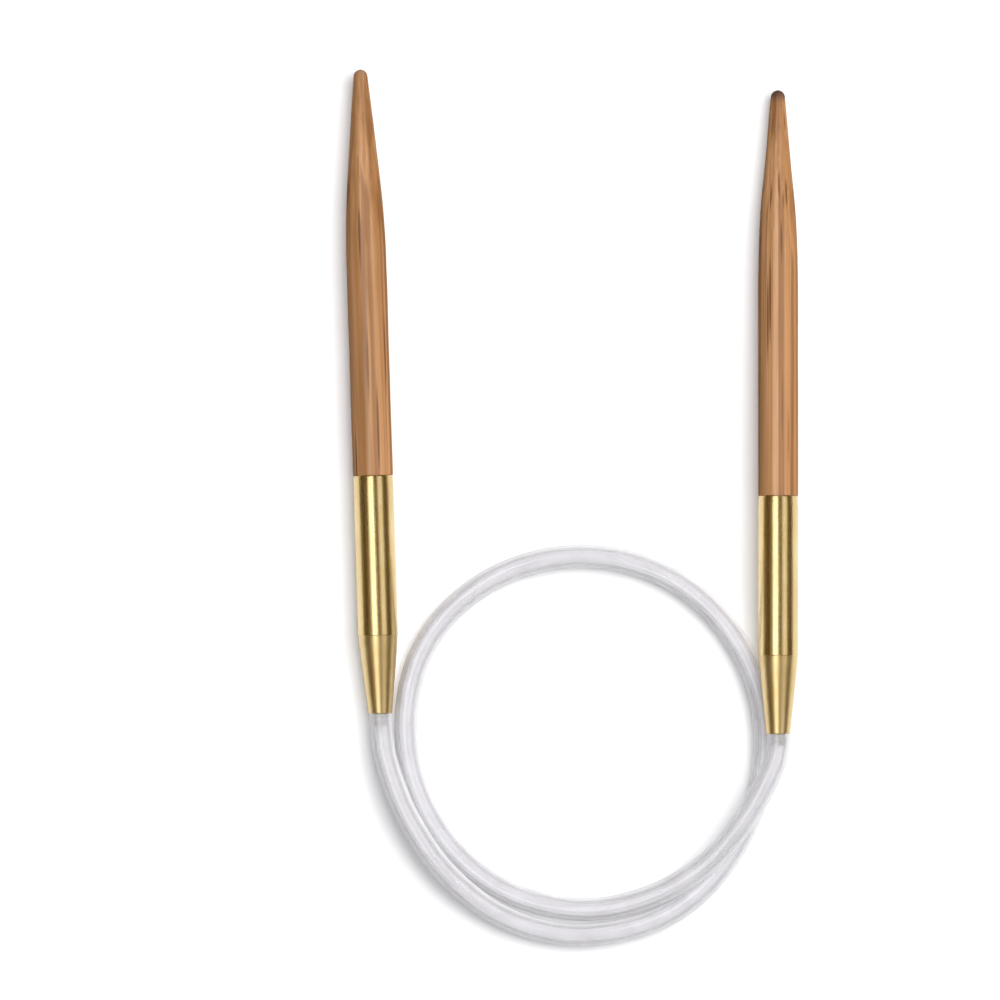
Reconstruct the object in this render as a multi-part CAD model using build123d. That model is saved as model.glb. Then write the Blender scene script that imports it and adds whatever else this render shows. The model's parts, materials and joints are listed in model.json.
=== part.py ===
from build123d import *
import math
import os

# Circular knitting needle: two bamboo tips in brass ferrules, joined by one hollow cable.
# Millimetres. +Z is up, the needle lies on z = 0, and both points face +Y.
# Each tip is modelled upright on local +Z: 0 is the cable end of its nose, and the point is on top.

# Tip lengths, from the cable end
NOSE_LENGTH = 15.6
BARREL_LENGTH = 32.0
WOOD_LENGTH = 81.2
TIP_LENGTH = NOSE_LENGTH + BARREL_LENGTH + WOOD_LENGTH

# Bamboo shaft
SHANK_RADIUS = 4.0
POINT_RADIUS = 1.4
TAPER_ANGLE = 5.2
TAPER_BLEND = 9.0
TENON_RADIUS = 3.3
TENON_LENGTH = 20.0
TENON_CHAMFER = 0.4

# Brass ferrule
BARREL_RADIUS = 4.0
BARREL_BORE_RADIUS = 3.5
MOUTH_RADIUS = 3.9
MOUTH_LENGTH = 2.4
SEAM_CHAMFER = 0.12
SPIGOT_LENGTH = 8.0
SPIGOT_CHAMFER = 0.3
SHOULDER_LENGTH = 2.2
SHOULDER_RADIUS = 3.74
SHOULDER_BULGE = 0.03
NOSE_END_RADIUS = 2.36
NOSE_EDGE = 0.12

# Swivel inside the nose
BORE_RADIUS = 1.5
POCKET_RADIUS = 2.75
POCKET_FLOOR = 9.0
WASHER_GAP = 0.05
WASHER_THICKNESS = 0.5
HEAD_THICKNESS = 1.6
HEAD_RADIUS = 2.6
NECK_RADIUS = 1.4
PIN_CHAMFER = 0.25
STEM_LENGTH = 2.4
BARB_COUNT = 2
BARB_INSET = 0.3
BARB_PITCH = 1.1
BARB_LENGTH = 0.8
BARB_ROOT_RADIUS = 1.3
BARB_RADIUS = 1.48

# Cable
CABLE_RADIUS = 2.3
CABLE_BORE_RADIUS = 1.4
CABLE_GAP = 0.1
ARC_SHARE = 0.45

# Where the two tips lie: the cable end of each nose, its yaw about Z and its pitch above the surface
LEFT_NOSE_END = (-38.3, -61.1, 4.0)
LEFT_YAW = 1.8
LEFT_PITCH = 0.0
RIGHT_NOSE_END = (41.2, -65.2, 7.0)
RIGHT_YAW = 0.0
RIGHT_PITCH = 1.84

# Route of the cable between the two tips: a coil of one and a half turns that lies on the surface.
# Its second turn climbs over the first, just before the right tip.
ROUTE = [
    (-36.5, -73.2, 5.1),
    (-33.0, -82.1, 5.7),
    (-25.5, -93.5, 5.3),
    (-12.8, -103.3, 2.9),
    (3.7, -106.5, 2.35),
    (22.8, -100.9, 2.35),
    (35.6, -84.6, 2.35),
    (39.8, -65.0, 2.35),
    (34.2, -46.6, 2.35),
    (20.6, -33.2, 2.35),
    (2.2, -28.6, 2.35),
    (-16.2, -33.0, 2.35),
    (-30.4, -46.2, 2.35),
    (-34.4, -65.0, 2.35),
    (-29.1, -83.0, 2.35),
    (-16.1, -96.4, 2.35),
    (1.2, -101.3, 2.35),
    (15.7, -98.4, 4.0),
    (27.0, -91.6, 6.7),
    (34.0, -83.4, 7.4),
    (38.4, -75.6, 7.4),
]
FIRST_REACH = 5.5
LAST_REACH = 4.2


def tip_location(nose_end, yaw, pitch):
    """Places an upright tip flat, with its point towards +Y."""
    return Location(nose_end) * Rotation(0, 0, yaw) * Rotation(-90 - pitch, 0, 0)


def along_axis(nose_end, yaw, pitch, distance):
    """A point on a tip's axis, that far outside the cable end of its nose."""
    point = tip_location(nose_end, yaw, pitch) * Location((0, 0, -distance))
    return tuple(point.position)


def make_shaft():
    """Bamboo shank with a rounded point, a straight taper and a turned tenon."""
    base = NOSE_LENGTH + BARREL_LENGTH
    tenon_end = base - TENON_LENGTH
    angle = math.radians(TAPER_ANGLE)
    ball_radius = POINT_RADIUS * math.cos(angle)
    ball_edge = TIP_LENGTH - POINT_RADIUS * (1 - math.sin(angle))
    taper_foot = ball_edge - (SHANK_RADIUS - ball_radius) / math.tan(angle)
    blend_top_radius = SHANK_RADIUS - TAPER_BLEND * math.sin(angle)
    blend_top = taper_foot + TAPER_BLEND * math.cos(angle)
    blend_bottom = taper_foot - TAPER_BLEND
    with BuildPart() as shaft:
        with BuildSketch(Plane.XZ):
            with BuildLine():
                Polyline(
                    (0, TIP_LENGTH),
                    (0, tenon_end),
                    (TENON_RADIUS - TENON_CHAMFER, tenon_end),
                    (TENON_RADIUS, tenon_end + TENON_CHAMFER),
                    (TENON_RADIUS, base),
                    (SHANK_RADIUS, base),
                    (SHANK_RADIUS, blend_bottom),
                )
                TangentArc((SHANK_RADIUS, blend_bottom), (blend_top_radius, blend_top), tangent=(0, 1))
                taper = Line((blend_top_radius, blend_top), (ball_radius, ball_edge))
                TangentArc(taper @ 1, (0, TIP_LENGTH), tangent=taper % 1)
            make_face()
        revolve(axis=Axis.Z)
    return shaft.part


def make_adhesive():
    """Film between the tenon and the barrel."""
    base = NOSE_LENGTH + BARREL_LENGTH
    with BuildPart() as film:
        with BuildSketch(Plane.XY.offset(base - TENON_LENGTH + TENON_CHAMFER)):
            Circle(BARREL_BORE_RADIUS)
            Circle(TENON_RADIUS, mode=Mode.SUBTRACT)
        extrude(amount=TENON_LENGTH - TENON_CHAMFER)
    return film.part


def make_barrel():
    """Brass tube, its mouth swaged in a little around the wood."""
    top = NOSE_LENGTH + BARREL_LENGTH
    with BuildPart() as barrel:
        with BuildSketch(Plane.XZ):
            with BuildLine():
                Polyline(
                    (BARREL_BORE_RADIUS, NOSE_LENGTH),
                    (BARREL_RADIUS - SEAM_CHAMFER, NOSE_LENGTH),
                    (BARREL_RADIUS, NOSE_LENGTH + SEAM_CHAMFER),
                    (BARREL_RADIUS, top - MOUTH_LENGTH),
                    (MOUTH_RADIUS, top),
                    (BARREL_BORE_RADIUS, top),
                    close=True,
                )
            make_face()
        revolve(axis=Axis.Z)
    return barrel.part


def make_nose():
    """Turned brass taper with a spigot, the swivel's pocket and its bore."""
    spigot_end = NOSE_LENGTH + SPIGOT_LENGTH
    shoulder = NOSE_LENGTH - SHOULDER_LENGTH
    seam_radius = BARREL_RADIUS - SEAM_CHAMFER
    middle = (seam_radius + SHOULDER_RADIUS) / 2 + SHOULDER_BULGE
    with BuildPart() as nose:
        with BuildSketch(Plane.XZ):
            with BuildLine():
                Polyline(
                    (seam_radius, NOSE_LENGTH),
                    (BARREL_BORE_RADIUS, NOSE_LENGTH),
                    (BARREL_BORE_RADIUS, spigot_end - SPIGOT_CHAMFER),
                    (BARREL_BORE_RADIUS - SPIGOT_CHAMFER, spigot_end),
                    (POCKET_RADIUS, spigot_end),
                    (POCKET_RADIUS, POCKET_FLOOR),
                    (BORE_RADIUS, POCKET_FLOOR),
                    (BORE_RADIUS, 0),
                    (NOSE_END_RADIUS - NOSE_EDGE, 0),
                )
                RadiusArc((NOSE_END_RADIUS - NOSE_EDGE, 0), (NOSE_END_RADIUS, NOSE_EDGE), -NOSE_EDGE)
                Line((NOSE_END_RADIUS, NOSE_EDGE), (SHOULDER_RADIUS, shoulder))
                ThreePointArc(
                    (SHOULDER_RADIUS, shoulder),
                    (middle, NOSE_LENGTH - SHOULDER_LENGTH / 2),
                    (seam_radius, NOSE_LENGTH),
                )
            make_face()
        revolve(axis=Axis.Z)
    return nose.part


def make_pin():
    """Swivel pin: head, and a neck that turns in the nose's bore and runs on as a barbed stem in the cable."""
    head_bottom = POCKET_FLOOR + WASHER_GAP + WASHER_THICKNESS
    head_top = head_bottom + HEAD_THICKNESS
    stem_end = -CABLE_GAP - STEM_LENGTH
    with BuildPart() as pin:
        with BuildSketch(Plane.XZ):
            with BuildLine():
                Polyline(
                    (0, head_top),
                    (0, stem_end),
                    (NECK_RADIUS - PIN_CHAMFER, stem_end),
                    (NECK_RADIUS, stem_end + PIN_CHAMFER),
                    (NECK_RADIUS, head_bottom),
                    (HEAD_RADIUS, head_bottom),
                    (HEAD_RADIUS, head_top - PIN_CHAMFER),
                    (HEAD_RADIUS - PIN_CHAMFER, head_top),
                    close=True,
                )
            make_face()
        revolve(axis=Axis.Z)
        for barb in range(BARB_COUNT):
            barb_top = -CABLE_GAP - BARB_INSET - BARB_PITCH * barb
            with Locations((0, 0, barb_top - BARB_LENGTH / 2)):
                Cone(BARB_ROOT_RADIUS, BARB_RADIUS, BARB_LENGTH)
    return pin.part


def make_washer():
    """Thrust washer between the pin's head and the floor of the pocket."""
    with BuildPart() as washer:
        with BuildSketch(Plane.XY.offset(POCKET_FLOOR + WASHER_GAP)):
            Circle(HEAD_RADIUS)
            Circle(NECK_RADIUS, mode=Mode.SUBTRACT)
        extrude(amount=WASHER_THICKNESS)
    return washer.part


def route_points():
    """All the points of the cable's route. Both ends lie against a nose and leave it along its axis."""
    left = (LEFT_NOSE_END, LEFT_YAW, LEFT_PITCH)
    right = (RIGHT_NOSE_END, RIGHT_YAW, RIGHT_PITCH)
    start = [along_axis(*left, CABLE_GAP), along_axis(*left, FIRST_REACH)]
    end = [along_axis(*right, LAST_REACH), along_axis(*right, CABLE_GAP)]
    return [Vector(*point) for point in start + ROUTE + end]


def arc_radii(points):
    """The largest arc at each corner that its two runs leave room for."""
    radii = []
    for before, corner, after in zip(points, points[1:], points[2:]):
        run_in = corner - before
        run_out = after - corner
        half_turn = math.radians(run_in.get_angle(run_out)) / 2
        radii.append(ARC_SHARE * min(run_in.length, run_out.length) / math.tan(half_turn))
    return radii


def make_cable():
    """Hollow cable: straight runs of the route joined by tangent arcs."""
    points = route_points()
    radii = arc_radii(points)
    print("arc radii:", [round(radius, 1) for radius in radii])
    path = FilletPolyline(*points, radius=radii)
    start_plane = Plane(origin=path @ 0, z_dir=path % 0)
    section = start_plane * (Circle(CABLE_RADIUS) - Circle(CABLE_BORE_RADIUS))
    cable = sweep(section, path=path)
    area = math.pi * (CABLE_RADIUS**2 - CABLE_BORE_RADIUS**2)
    print("cable length:", round(path.length, 1), "volume:", round(cable.volume, 1))
    print("section times length:", round(area * path.length, 1))
    return cable


def main():
    os.makedirs("parts", exist_ok=True)
    makers = {
        "shaft": make_shaft,
        "adhesive": make_adhesive,
        "barrel": make_barrel,
        "nose": make_nose,
        "pin": make_pin,
        "washer": make_washer,
    }
    places = {
        "left": tip_location(LEFT_NOSE_END, LEFT_YAW, LEFT_PITCH),
        "right": tip_location(RIGHT_NOSE_END, RIGHT_YAW, RIGHT_PITCH),
    }
    for side, place in places.items():
        for name, make in makers.items():
            node = place * make()
            export_step(node, f"parts/{side}_{name}.step")
    export_step(make_cable(), "parts/cable.step")


if __name__ == "__main__":
    main()
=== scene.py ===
import json
import math

import bpy
from mathutils import Matrix, Vector, noise


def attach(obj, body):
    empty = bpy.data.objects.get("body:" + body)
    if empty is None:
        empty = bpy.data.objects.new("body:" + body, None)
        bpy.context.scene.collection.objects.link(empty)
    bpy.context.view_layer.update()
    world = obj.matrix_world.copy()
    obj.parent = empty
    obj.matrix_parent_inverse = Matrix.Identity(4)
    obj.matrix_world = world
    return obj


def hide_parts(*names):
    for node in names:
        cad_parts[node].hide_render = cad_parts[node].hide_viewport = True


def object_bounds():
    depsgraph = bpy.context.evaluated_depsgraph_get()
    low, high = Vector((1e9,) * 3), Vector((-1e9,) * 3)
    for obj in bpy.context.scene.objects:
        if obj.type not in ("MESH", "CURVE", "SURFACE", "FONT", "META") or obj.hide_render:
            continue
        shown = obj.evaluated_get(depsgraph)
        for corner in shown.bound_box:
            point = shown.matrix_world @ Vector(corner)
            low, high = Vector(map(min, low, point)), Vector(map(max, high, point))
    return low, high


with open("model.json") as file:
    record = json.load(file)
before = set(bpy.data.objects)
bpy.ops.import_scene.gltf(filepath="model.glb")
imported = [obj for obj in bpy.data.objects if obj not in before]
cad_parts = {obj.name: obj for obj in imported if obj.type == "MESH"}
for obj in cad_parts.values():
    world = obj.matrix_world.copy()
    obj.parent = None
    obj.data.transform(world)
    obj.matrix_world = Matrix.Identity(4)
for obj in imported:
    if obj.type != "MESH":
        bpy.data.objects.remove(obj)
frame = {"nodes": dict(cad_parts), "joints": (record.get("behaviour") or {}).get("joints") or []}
cad_low, cad_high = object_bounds()

# Circular knitting needle, in metres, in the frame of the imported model: +Z is up, both points face +Y.
# Each tip is made upright on its own +Z, with 0 at the cable end of its nose. Its swivel joint places it.

MM = 0.001
SIDES = ("left", "right")

# Lengths along a tip
NOSE_LENGTH = 15.6 * MM
BARREL_LENGTH = 32.0 * MM
BARREL_TOP = NOSE_LENGTH + BARREL_LENGTH
TIP_LENGTH = 128.8 * MM

# Bamboo shaft
SHANK_RADIUS = 4.0 * MM
WOOD_EDGE = 0.08 * MM
TENON_RADIUS = 3.3 * MM
TENON_LENGTH = 20.0 * MM
POINT_RADIUS = 1.4 * MM
TAPER_ANGLE = math.radians(5.2)
TAPER_BLEND = 9.0 * MM
BALL_RADIUS = POINT_RADIUS * math.cos(TAPER_ANGLE)
BALL_EDGE = TIP_LENGTH - POINT_RADIUS * (1 - math.sin(TAPER_ANGLE))
BALL_HOLE = 0.08
BALL_STEPS = 8
SHAFT_STEPS = 260
SHAFT_SEGMENTS = 96

# Unevenness of the sanded wood: depths, cells around the shank, cells per metre along it
FLAT_DEPTH = 0.03 * MM
FLAT_DEPTH_GAIN = 0.07 * MM
FLAT_AROUND = 1.1
FLAT_ALONG = 90
FIBRE_DEPTH = 0.01 * MM
FIBRE_AROUND = 9
FIBRE_ALONG = 60
FADE_AT_BARREL = 3.0 * MM
FADE_AT_POINT = 4.0 * MM
PATTERN_SHIFT = 3.0

# Brass ferrule
BRASS_EDGE = 0.12 * MM
BRASS_SEGMENTS = 192
BARREL_BORE = 3.5 * MM
BARREL_STEPS = 20
BORE_STEPS = 6
MOUTH_RADIUS = 3.9 * MM
MOUTH_LENGTH = 2.4 * MM
MOUTH_STEPS = 16
MOUTH_CURVE = 0.6
SPIGOT_LENGTH = 8.0 * MM
SPIGOT_CHAMFER = 0.3 * MM
POCKET_RADIUS = 2.75 * MM
POCKET_FLOOR = 9.0 * MM
NOSE_BORE = 1.5 * MM
NOSE_END_RADIUS = 2.36 * MM
NOSE_EDGE_STEPS = 6
CONE_START = 0.5 * MM
CONE_STEPS = 24
SHOULDER_RADIUS = 3.74 * MM
SHOULDER_LENGTH = 2.2 * MM
SHOULDER_BULGE = 0.03 * MM
SHOULDER_STEPS = 12

# Cable: its line is drawn by these points, from the left nose to the right one
CABLE_DIAMETER = 4.6 * MM
CABLE_BORE = 2.8 * MM
CABLE_SEGMENTS = 40
CABLE_ROUTE = [
    (-0.0365, -0.0732, 0.00510),
    (-0.0330, -0.0821, 0.00570),
    (-0.0255, -0.0935, 0.00530),
    (-0.0128, -0.1033, 0.00290),
    (0.0037, -0.1065, 0.00235),
    (0.0228, -0.1009, 0.00235),
    (0.0356, -0.0846, 0.00235),
    (0.0398, -0.0650, 0.00235),
    (0.0342, -0.0466, 0.00235),
    (0.0206, -0.0332, 0.00235),
    (0.0022, -0.0286, 0.00235),
    (-0.0162, -0.0330, 0.00235),
    (-0.0304, -0.0462, 0.00235),
    (-0.0344, -0.0650, 0.00235),
    (-0.0291, -0.0830, 0.00235),
    (-0.0161, -0.0964, 0.00235),
    (0.0012, -0.1013, 0.00235),
    (0.0157, -0.0984, 0.00400),
    (0.0270, -0.0916, 0.00670),
    (0.0340, -0.0834, 0.00740),
    (0.0384, -0.0756, 0.00740),
]
CABLE_GAP = 0.1 * MM
FIRST_REACH = 5.5 * MM
LAST_REACH = 4.2 * MM
SPLINE_ORDER = 3
SPLINE_STEPS = 28

SHARP_ANGLE = math.radians(35)

# Camera and stage
SENSOR_WIDTH = 36
CAMERA_HEIGHT = 2.4
CAMERA_REACH = 20
VIEW_WIDTH = 0.2
VIEW_OFFSET = (-0.0144, 0.0017)
LIGHT_DISTANCE = 3.0
FLOOR_REACH = 3.0
FLOOR_DROP = 0.05 * MM


# ---------------------------------------------------------------- camera


def make_camera():
    """Straight above the needle, and a little to its left, so that it lies right of the picture's middle."""
    data = bpy.data.cameras.new("camera")
    data.sensor_width = SENSOR_WIDTH
    data.lens = SENSOR_WIDTH * CAMERA_HEIGHT / VIEW_WIDTH
    data.clip_end = CAMERA_REACH
    camera = bpy.data.objects.new("camera", data)
    middle = (cad_low + cad_high) / 2
    height = SHANK_RADIUS + CAMERA_HEIGHT
    camera.location = (middle.x + VIEW_OFFSET[0], middle.y + VIEW_OFFSET[1], height)
    bpy.context.collection.objects.link(camera)
    bpy.context.scene.camera = camera


# ---------------------------------------------------------------- node helpers


class Nodes:
    """Short calls for building one material, whose pattern is turned about the piece's axis by turn."""

    def __init__(self, name, turn=0.0):
        self.material = bpy.data.materials.new(name)
        self.material.use_nodes = True
        self.tree = self.material.node_tree
        self.tree.nodes.clear()
        self.output = self.tree.nodes.new("ShaderNodeOutputMaterial")
        self.turn = turn

    def add(self, kind, inputs=None, **settings):
        node = self.tree.nodes.new("ShaderNode" + kind)
        for key, value in settings.items():
            setattr(node, key, value)
        for key, value in (inputs or {}).items():
            if isinstance(value, bpy.types.NodeSocket):
                self.tree.links.new(value, node.inputs[key])
            else:
                node.inputs[key].default_value = value
        return node

    def place(self, scale):
        """The piece's own coordinates, in metres, stretched by scale and turned about its axis."""
        coordinates = self.add("TexCoord").outputs["Object"]
        mapping = self.add("Mapping", {"Vector": coordinates, "Scale": scale, "Rotation": (0, 0, self.turn)})
        return mapping.outputs["Vector"]

    def noise(self, scale, detail=3.0, roughness=0.5, around=1.0, along=1.0, distortion=0.0):
        """Noise with scale features per metre.

        That is multiplied by around about the piece's axis, and by along on its way."""
        vector = self.place((scale * around, scale * around, scale * along))
        inputs = {"Vector": vector, "Scale": 1.0, "Detail": detail, "Roughness": roughness}
        inputs["Distortion"] = distortion
        return self.add("TexNoise", inputs).outputs["Fac"]

    def ramp(self, factor, stops):
        """A colour ramp; each stop is a place and a colour or a grey."""
        node = self.add("ValToRGB", {"Fac": factor})
        elements = node.color_ramp.elements
        while len(elements) < len(stops):
            elements.new(0.5)
        for element, (position, colour) in zip(elements, stops):
            element.position = position
            rgb = colour if isinstance(colour, tuple) else (colour,) * 3
            element.color = (*rgb, 1)
        return node.outputs["Color"]

    def mix(self, factor, first, second, blend="MIX"):
        node = self.add("MixRGB", {"Fac": factor, "Color1": first, "Color2": second}, blend_type=blend)
        return node.outputs["Color"]

    def map_range(self, value, low, high, to_low, to_high):
        inputs = {"Value": value, "From Min": low, "From Max": high, "To Min": to_low, "To Max": to_high}
        return self.add("MapRange", inputs).outputs["Result"]

    def spread(self, pattern, low, high):
        """A noise pattern's usual values, carried over to low and high."""
        return self.map_range(pattern, 0.3, 0.7, low, high)

    def math(self, operation, first, second):
        return self.add("Math", {0: first, 1: second}, operation=operation).outputs["Value"]

    def slant(self):
        """0 where the surface faces the viewer, 1 where it is seen edge on."""
        return self.add("LayerWeight", {"Blend": 0.5}).outputs["Facing"]

    def bump(self, height, distance, strength=0.5, normal=None):
        inputs = {"Height": height, "Distance": distance, "Strength": strength}
        if normal is not None:
            inputs["Normal"] = normal
        return self.add("Bump", inputs).outputs["Normal"]

    def principled(self, inputs):
        return self.add("BsdfPrincipled", inputs).outputs["BSDF"]

    def surface(self, shader):
        self.tree.links.new(shader, self.output.inputs["Surface"])
        return self.material


# ---------------------------------------------------------------- materials


def bamboo_material(side, turn, end_tone, end_length):
    """Carbonised bamboo: long fibres, darker bundles that the taper cuts into dashes, satin varnish.

    Each tip is cut from its own piece of cane, and its very end is burnished darker."""
    line_tone = (0.19, 0.078, 0.028, 1)
    bundle_tone = (0.13, 0.05, 0.02, 1)
    n = Nodes(f"{side}_bamboo", math.radians(turn))
    broad = n.noise(420, detail=2.0, along=0.03, distortion=0.3)
    fibres = n.noise(2600, detail=4.0, roughness=0.6, along=0.012)
    threads = n.noise(6500, detail=2.0, along=0.006)
    tones = [(0.30, (0.29, 0.13, 0.046)), (0.50, (0.43, 0.212, 0.088)), (0.72, (0.55, 0.292, 0.138))]
    colour = n.ramp(broad, tones)
    fibre_tone = n.ramp(fibres, [(0.30, 0.76), (0.55, 1.0), (0.8, 1.08)])
    colour = n.mix(1.0, colour, fibre_tone, "MULTIPLY")
    thread_tone = n.ramp(threads, [(0.35, 0.9), (0.6, 1.0)])
    colour = n.mix(0.7, colour, thread_tone, "MULTIPLY")
    line = n.ramp(n.noise(760, detail=1.0, roughness=0.4, along=0.006), [(0.60, 0.0), (0.66, 1.0)])
    colour = n.mix(n.math("MULTIPLY", line, 0.55), colour, line_tone)
    cells = n.place((840, 840, 24))
    bundle = n.add("TexVoronoi", {"Vector": cells, "Scale": 1.0, "Randomness": 1.0}).outputs["Distance"]
    bundle_mask = n.ramp(bundle, [(0.14, 1.0), (0.26, 0.0)])
    colour = n.mix(n.math("MULTIPLY", bundle_mask, 0.8), colour, bundle_tone)
    height = n.add("SeparateXYZ", {"Vector": n.add("TexCoord").outputs["Object"]}).outputs["Z"]
    burnished = (TIP_LENGTH - end_length, TIP_LENGTH - 0.3 * end_length)
    point = n.map_range(height, *burnished, to_low=0.0, to_high=0.8)
    colour = n.mix(point, colour, end_tone)
    rough = n.spread(n.noise(300, roughness=0.6, along=0.15), 0.36, 0.52)
    relief = n.math("SUBTRACT", fibres, n.math("MULTIPLY", bundle_mask, 0.6))
    normal = n.bump(relief, 0.04 * MM)
    varnish = n.map_range(n.slant(), low=0.14, high=0.36, to_low=1.0, to_high=0.1)
    inputs = {"Base Color": colour, "Roughness": rough, "Normal": normal, "Coat Weight": varnish}
    inputs.update({"Coat Roughness": 0.17, "Coat IOR": 1.42, "Specular IOR Level": 0.0})
    return n.surface(n.principled(inputs))


def brass_material(name, turned):
    """Polished brass: the tube is drawn, with lines along it, and the nose is turned, its polish in rings."""
    n = Nodes(name)
    stain = n.noise(260, detail=4.0, roughness=0.6, along=0.6)
    colour = n.ramp(stain, [(0.3, (0.73, 0.54, 0.25)), (0.55, (0.79, 0.61, 0.31)), (0.8, (0.84, 0.67, 0.38))])
    dents = n.bump(n.noise(180, detail=1.0, roughness=0.4), 0.06 * MM, strength=0.35)
    if turned:
        rough = n.spread(n.noise(2200, roughness=0.6, around=0.04), 0.35, 0.39)
        normal = dents
    else:
        rough = n.spread(n.noise(2200, roughness=0.6, along=0.012), 0.22, 0.32)
        scratches = n.ramp(n.noise(9000, detail=2.0, along=0.012), [(0.40, 0.0), (0.62, 1.0)])
        normal = n.bump(scratches, 0.002 * MM, normal=dents)
    inputs = {"Base Color": colour, "Metallic": 1.0, "Roughness": rough, "Normal": normal}
    return n.surface(n.principled(inputs))


def steel_material():
    """Nickel-plated steel of the swivel pins."""
    n = Nodes("steel")
    rings = n.noise(5000, roughness=0.6, around=0.1)
    rough = n.spread(rings, 0.45, 0.6)
    colour = n.ramp(n.noise(900), [(0.3, (0.86, 0.85, 0.84)), (0.7, (0.93, 0.92, 0.91))])
    normal = n.bump(rings, 0.003 * MM)
    inputs = {"Base Color": colour, "Metallic": 1.0, "Roughness": rough, "Normal": normal}
    return n.surface(n.principled(inputs))


def dull_material(name, dark, light, smoothest, roughest):
    """A plain moulded or cured plastic with mottled colour and roughness."""
    n = Nodes(name)
    mottle = n.noise(1600, detail=4.0, roughness=0.6)
    colour = n.ramp(mottle, [(0.35, dark), (0.65, light)])
    rough = n.spread(mottle, smoothest, roughest)
    normal = n.bump(n.noise(6000, detail=2.0), 0.01 * MM)
    return n.surface(n.principled({"Base Color": colour, "Roughness": rough, "Normal": normal}))


def tube_material():
    """Clear tubing with a little violet-grey milk in it, which shows most where the wall is seen edge on.

    Its shadow is dark where it is seen past the tube, and nearly gone where it is seen through it."""
    seen_past, seen_through = (0.25, 0.25, 0.26, 1), (0.97, 0.97, 0.975, 1)
    n = Nodes("clear_tube")
    haze = n.noise(240)
    rough = n.spread(haze, 0.1, 0.18)
    colour = n.ramp(haze, [(0.3, (0.715, 0.71, 0.728)), (0.7, (0.77, 0.765, 0.783))])
    normal = n.bump(n.noise(420, detail=2.0, roughness=0.4), 0.02 * MM, strength=0.3)
    clarity = n.map_range(n.slant(), low=0.2, high=0.5, to_low=0.72, to_high=0.1)
    inputs = {"Base Color": colour, "Roughness": rough, "Normal": normal}
    inputs.update({"Transmission Weight": clarity, "IOR": 1.45})
    path = n.add("LightPath")
    through = n.math("GREATER_THAN", path.outputs["Transmission Depth"], 0.5)
    shade = n.mix(through, seen_past, seen_through)
    clear = n.add("BsdfTransparent", {"Color": shade}).outputs["BSDF"]
    mixed = n.add("MixShader", {"Fac": path.outputs["Is Shadow Ray"], 1: n.principled(inputs), 2: clear})
    return n.surface(mixed.outputs["Shader"])


def floor_material():
    """Matt white card."""
    n = Nodes("card")
    colour = n.ramp(n.noise(3, detail=2.0), [(0.3, (0.86, 0.86, 0.865)), (0.7, (0.88, 0.88, 0.885))])
    return n.surface(n.principled({"Base Color": colour, "Roughness": 0.9, "Specular IOR Level": 0.1}))


# ---------------------------------------------------------------- shapes


def mesh_object(name, vertices, faces, material):
    """A new object, smooth but for its sharp edges."""
    mesh = bpy.data.meshes.new(name)
    mesh.from_pydata(vertices, [], faces)
    mesh.polygons.foreach_set("use_smooth", [True] * len(mesh.polygons))
    mesh.set_sharp_from_angle(angle=SHARP_ANGLE)
    mesh.materials.append(material)
    mesh.validate()
    piece = bpy.data.objects.new(name, mesh)
    bpy.context.collection.objects.link(piece)
    return piece


def grid_faces(rows, columns, wrap_rows):
    """Quads of a grid whose columns close on themselves, and its rows too if wrap_rows is set."""
    faces = []
    for row in range(rows if wrap_rows else rows - 1):
        below, above = row * columns, (row + 1) % rows * columns
        for column in range(columns):
            after = (column + 1) % columns
            faces.append((below + column, below + after, above + after, above + column))
    return faces


def lathe(name, profile, segments, material, closed, relief=None):
    """Turns a profile of (radius, height) points about +Z. An open one is capped at both ends."""
    vertices = []
    for radius, height in profile:
        for k in range(segments):
            angle = 2 * math.pi * k / segments
            r = radius + (relief(angle, height) if relief else 0.0)
            vertices.append((r * math.cos(angle), r * math.sin(angle), height))
    faces = grid_faces(len(profile), segments, wrap_rows=closed)
    if not closed:
        last = (len(profile) - 1) * segments
        faces.append(tuple(reversed(range(segments))))
        faces.append(tuple(range(last, last + segments)))
    return mesh_object(name, vertices, faces, material)


def steps(first, last, count):
    """count points from first up to, but not including, last."""
    return [first + (last - first) * k / count for k in range(count)]


def tip_matrix(side):
    """Where an upright tip lies: its swivel gives the nose's end and the way to the point."""
    joint = next(j for j in frame["joints"] if j["name"] == f"{side}_swivel")
    axis = Vector(joint["axis"]).normalized()
    across = axis.cross(Vector((0, 0, 1))).normalized()
    below = axis.cross(across)
    turn = Matrix((across, below, axis)).transposed().to_4x4()
    return Matrix.Translation(Vector(joint["pos_m"])) @ turn


def install(piece, side, part):
    """Puts a tip's piece in place, on its body, instead of the CAD node of that part."""
    piece.matrix_world = tip_matrix(side)
    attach(piece, f"{side}_tip")
    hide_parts(f"{side}_{part}")


# ---------------------------------------------------------------- bamboo shafts


def shaft_radius(height):
    """The CAD outline below the ball: a shank, a blend and a straight taper."""
    foot = BALL_EDGE - (SHANK_RADIUS - BALL_RADIUS) / math.tan(TAPER_ANGLE)
    blend_bottom = foot - TAPER_BLEND
    blend_top = foot + TAPER_BLEND * math.cos(TAPER_ANGLE)
    if height <= blend_bottom:
        return SHANK_RADIUS
    if height < blend_top:
        bend = TAPER_BLEND / math.tan(TAPER_ANGLE / 2)
        return SHANK_RADIUS - bend + math.sqrt(bend**2 - (height - blend_bottom) ** 2)
    return SHANK_RADIUS - (height - foot) * math.tan(TAPER_ANGLE)


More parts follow.
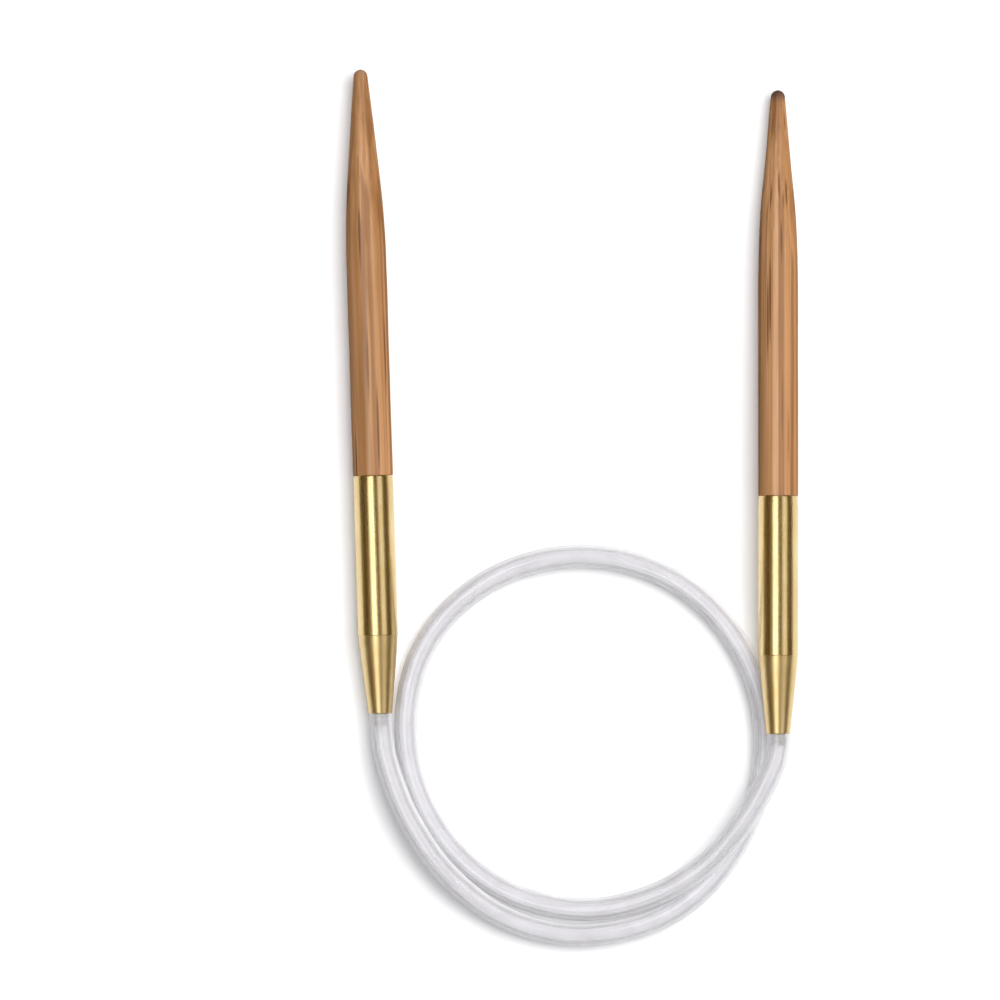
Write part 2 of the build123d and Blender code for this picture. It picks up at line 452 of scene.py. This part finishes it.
def make_shaft(side, material):
    """Shank with a tenon, hand-sanded: the taper has faint flats and the shank is not quite round."""
    shift = PATTERN_SHIFT * SIDES.index(side)

    def unevenness(angle, height, around, along):
        place = (math.cos(angle) * around, math.sin(angle) * around, height * along + shift)
        return noise.noise(Vector(place))

    def relief(angle, height):
        if height <= BARREL_TOP:
            return 0.0
        share = (height - BARREL_TOP) / (TIP_LENGTH - BARREL_TOP)
        fade = min((height - BARREL_TOP) / FADE_AT_BARREL, 1.0)
        fade *= min((TIP_LENGTH - height) / FADE_AT_POINT, 1.0)
        flats = (FLAT_DEPTH + FLAT_DEPTH_GAIN * share) * unevenness(angle, height, FLAT_AROUND, FLAT_ALONG)
        return fade * (flats + FIBRE_DEPTH * unevenness(angle, height, FIBRE_AROUND, FIBRE_ALONG))

    profile = [(TENON_RADIUS, h) for h in steps(BARREL_TOP - TENON_LENGTH, BARREL_TOP, 4)]
    profile += [(TENON_RADIUS, BARREL_TOP), (SHANK_RADIUS - WOOD_EDGE, BARREL_TOP)]
    profile.append((SHANK_RADIUS, BARREL_TOP + WOOD_EDGE))
    profile += [(shaft_radius(h), h) for h in steps(BARREL_TOP + 3 * WOOD_EDGE, BALL_EDGE, SHAFT_STEPS)]
    for k in range(BALL_STEPS + 1):
        turn = TAPER_ANGLE + (math.pi / 2 - BALL_HOLE - TAPER_ANGLE) * k / BALL_STEPS
        profile.append((POINT_RADIUS * math.cos(turn), TIP_LENGTH - POINT_RADIUS * (1 - math.sin(turn))))
    piece = lathe(f"{side}_bamboo_shaft", profile, SHAFT_SEGMENTS, material, False, relief)
    install(piece, side, "shaft")


# ---------------------------------------------------------------- brass ferrules


def make_barrel(side, material):
    """Drawn tube: rounded edge at the seam, its mouth swaged in around the wood."""
    edge = BRASS_EDGE
    profile = [(BARREL_BORE, NOSE_LENGTH), (SHANK_RADIUS - edge, NOSE_LENGTH)]
    profile += [(SHANK_RADIUS - 0.3 * edge, NOSE_LENGTH + 0.3 * edge), (SHANK_RADIUS, NOSE_LENGTH + edge)]
    straight = steps(NOSE_LENGTH + 2 * edge, BARREL_TOP - MOUTH_LENGTH, BARREL_STEPS)
    profile += [(SHANK_RADIUS, h) for h in straight]
    for k in range(MOUTH_STEPS + 1):
        share = k / MOUTH_STEPS
        swage = share**2 * (1 + MOUTH_CURVE - MOUTH_CURVE * share)
        radius = SHANK_RADIUS - (SHANK_RADIUS - MOUTH_RADIUS) * swage
        profile.append((radius, BARREL_TOP - MOUTH_LENGTH * (1 - share) - edge))
    profile += [(MOUTH_RADIUS - 0.5 * edge, BARREL_TOP - 0.2 * edge), (MOUTH_RADIUS - edge, BARREL_TOP)]
    profile.append((BARREL_BORE, BARREL_TOP))
    profile += [(BARREL_BORE, h) for h in steps(BARREL_TOP - 3 * edge, NOSE_LENGTH, BORE_STEPS)]
    piece = lathe(f"{side}_brass_barrel", profile, BRASS_SEGMENTS, material, True)
    install(piece, side, "barrel")


def make_nose(side, material):
    """Turned taper with a convex shoulder, the spigot, the swivel's pocket and its bore."""
    edge = BRASS_EDGE
    spigot_end = NOSE_LENGTH + SPIGOT_LENGTH
    shoulder = NOSE_LENGTH - SHOULDER_LENGTH
    profile = [(NOSE_BORE, 0.0), (NOSE_END_RADIUS - edge, 0.0)]
    for k in range(1, NOSE_EDGE_STEPS + 1):
        turn = math.pi / 2 * k / NOSE_EDGE_STEPS
        profile.append((NOSE_END_RADIUS - edge * (1 - math.sin(turn)), edge * (1 - math.cos(turn))))
    for height in steps(CONE_START, shoulder, CONE_STEPS):
        share = (height - edge) / (shoulder - edge)
        profile.append((NOSE_END_RADIUS + (SHOULDER_RADIUS - NOSE_END_RADIUS) * share, height))
    seam_radius = SHANK_RADIUS - edge
    for k in range(SHOULDER_STEPS + 1):
        share = k / SHOULDER_STEPS
        bulge = 4 * SHOULDER_BULGE * share * (1 - share)
        radius = SHOULDER_RADIUS + (seam_radius - SHOULDER_RADIUS) * share + bulge
        profile.append((radius, shoulder + SHOULDER_LENGTH * share))
    profile += [(BARREL_BORE, NOSE_LENGTH), (BARREL_BORE, spigot_end - SPIGOT_CHAMFER)]
    profile += [(BARREL_BORE - SPIGOT_CHAMFER, spigot_end), (POCKET_RADIUS, spigot_end)]
    profile += [(POCKET_RADIUS, POCKET_FLOOR), (NOSE_BORE, POCKET_FLOOR)]
    piece = lathe(f"{side}_brass_nose", profile, BRASS_SEGMENTS, material, True)
    install(piece, side, "nose")


# ---------------------------------------------------------------- cable


def cable_points():
    """The route's NURBS spline, read as points; both ends lie against a nose and leave it along its axis."""
    start, end = tip_matrix("left"), tip_matrix("right")
    first = [start @ Vector((0, 0, height)) for height in (-CABLE_GAP, -FIRST_REACH)]
    last = [end @ Vector((0, 0, height)) for height in (-LAST_REACH, -CABLE_GAP)]
    route = first + [Vector(p) for p in CABLE_ROUTE] + last
    data = bpy.data.curves.new("cable_line", "CURVE")
    data.dimensions = "3D"
    data.resolution_u = SPLINE_STEPS
    spline = data.splines.new("NURBS")
    spline.points.add(len(route) - 1)
    for point, place in zip(spline.points, route):
        point.co = (*place, 1)
    spline.order_u = SPLINE_ORDER
    spline.use_endpoint_u = True
    line = bpy.data.objects.new("cable_line", data)
    bpy.context.collection.objects.link(line)
    bpy.context.view_layer.update()
    mesh = bpy.data.meshes.new_from_object(line)
    points = [v.co.copy() for v in mesh.vertices]
    bpy.data.meshes.remove(mesh)
    bpy.data.objects.remove(line)
    bpy.data.curves.remove(data)
    return points


def make_cable(material):
    """Hollow tube along the spline: outer wall, end rim, inner wall and the other rim."""
    points = cable_points()
    rings = []
    across = Vector((0, 0, 1))
    for k, point in enumerate(points):
        ahead = points[min(k + 1, len(points) - 1)] - points[max(k - 1, 0)]
        ahead.normalize()
        across = (across - ahead * across.dot(ahead)).normalized()
        rings.append((point, across.copy(), ahead.cross(across)))
    outer, inner = CABLE_DIAMETER / 2, CABLE_BORE / 2
    order = [(ring, outer) for ring in rings] + [(ring, inner) for ring in reversed(rings)]
    vertices = []
    for (point, up, side), radius in order:
        for k in range(CABLE_SEGMENTS):
            angle = 2 * math.pi * k / CABLE_SEGMENTS
            vertices.append(point + (up * math.cos(angle) + side * math.sin(angle)) * radius)
    faces = grid_faces(len(order), CABLE_SEGMENTS, wrap_rows=True)
    piece = mesh_object("clear_cable", vertices, faces, material)
    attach(piece, "cord")
    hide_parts("cable")


# ---------------------------------------------------------------- small CAD parts that stay


def paint(node, material):
    """Gives a CAD node that stays its own material."""
    mesh = frame["nodes"][node].data
    mesh.materials.clear()
    mesh.materials.append(material)


# ---------------------------------------------------------------- stage and light


def make_floor():
    reach = FLOOR_REACH
    corners = [(-reach, -reach, 0), (reach, -reach, 0), (reach, reach, 0), (-reach, reach, 0)]
    floor = mesh_object("floor", corners, [(0, 1, 2, 3)], floor_material())
    floor.location.z = -FLOOR_DROP


def make_light(name, bearing, tilt, width, length, radiance, mirrored=True, lights=True, shadow=True):
    """A softbox: tilt is its angle from straight up, bearing the way it leans, from +X, both in degrees.

    Polished things mirror it if mirrored is set, and it lights matt surfaces if lights is set."""
    data = bpy.data.lights.new(name, "AREA")
    data.shape = "RECTANGLE"
    data.size = width
    data.size_y = length
    data.energy = radiance * math.pi * width * length
    data.use_shadow = shadow
    light = bpy.data.objects.new(name, data)
    bearing, tilt = math.radians(bearing), math.radians(tilt)
    away = Vector((math.cos(bearing) * math.sin(tilt), math.sin(bearing) * math.sin(tilt), math.cos(tilt)))
    across = Vector((0, 1, 0)).cross(away).normalized()
    turn = Matrix((across, away.cross(across), away)).transposed().to_4x4()
    middle = Vector(((cad_low.x + cad_high.x) / 2, 0, 0))
    light.matrix_world = Matrix.Translation(middle + away * LIGHT_DISTANCE) @ turn
    light.visible_glossy = mirrored
    light.visible_diffuse = lights
    light.visible_transmission = False
    light.visible_camera = False
    bpy.context.collection.objects.link(light)


def make_world():
    """Dim studio walls, warm where things mirror them; the camera itself sees pale paper."""
    walls, mirrored_walls, paper = (0.16, 0.16, 0.165, 1), (0.105, 0.068, 0.008, 1), (0.95, 0.95, 0.96, 1)
    world = bpy.data.worlds.new("studio")
    world.use_nodes = True
    tree = world.node_tree
    back = tree.nodes["Background"]
    path = tree.nodes.new("ShaderNodeLightPath")
    mirrored = tree.nodes.new("ShaderNodeMixRGB")
    mirrored.inputs["Color1"].default_value = walls
    mirrored.inputs["Color2"].default_value = mirrored_walls
    seen = tree.nodes.new("ShaderNodeMixRGB")
    seen.inputs["Color2"].default_value = paper
    tree.links.new(path.outputs["Is Glossy Ray"], mirrored.inputs["Fac"])
    tree.links.new(mirrored.outputs["Color"], seen.inputs["Color1"])
    tree.links.new(path.outputs["Is Camera Ray"], seen.inputs["Fac"])
    tree.links.new(seen.outputs["Color"], back.inputs["Color"])
    bpy.context.scene.world = world


def make_stage():
    """Floor, walls and softboxes. The front and back boxes only show as reflections in the metal."""
    make_floor()
    make_world()
    make_light("overhead_box", bearing=180, tilt=16.5, width=1.4, length=2.6, radiance=2.6, lights=False)
    make_light("side_box", bearing=0, tilt=37, width=1.5, length=2.6, radiance=1.0)
    make_light("front_box", bearing=270, tilt=56, width=2.4, length=1.5, radiance=1.3, lights=False)
    make_light("back_box", bearing=90, tilt=56, width=2.4, length=1.5, radiance=1.3, lights=False)
    make_light("key_box", bearing=45, tilt=21, width=1.9, length=1.9, radiance=7.2, mirrored=False)
    make_light(
        "fill_box", bearing=20, tilt=18, width=1.0, length=1.0, radiance=8.6, mirrored=False, shadow=False
    )
    bpy.context.scene.view_settings.view_transform = "Standard"


# ---------------------------------------------------------------- everything

make_camera()
make_cable(tube_material())

bamboo = {
    "left": bamboo_material("left", turn=13, end_tone=(0.30, 0.17, 0.10, 1), end_length=1.8 * MM),
    "right": bamboo_material("right", turn=193, end_tone=(0.05, 0.03, 0.03, 1), end_length=2.6 * MM),
}
drawn_brass = brass_material("drawn_brass", turned=False)
turned_brass = brass_material("turned_brass", turned=True)
for side in SIDES:
    make_shaft(side, bamboo[side])
    make_barrel(side, drawn_brass)
    make_nose(side, turned_brass)

steel = steel_material()
nylon = dull_material("nylon", (0.80, 0.80, 0.76), (0.90, 0.90, 0.87), smoothest=0.35, roughest=0.5)
epoxy = dull_material("epoxy", (0.55, 0.42, 0.22), (0.66, 0.54, 0.32), smoothest=0.3, roughest=0.5)
for side in SIDES:
    paint(f"{side}_pin", steel)
    paint(f"{side}_washer", nylon)
    paint(f"{side}_adhesive", epoxy)

make_stage()
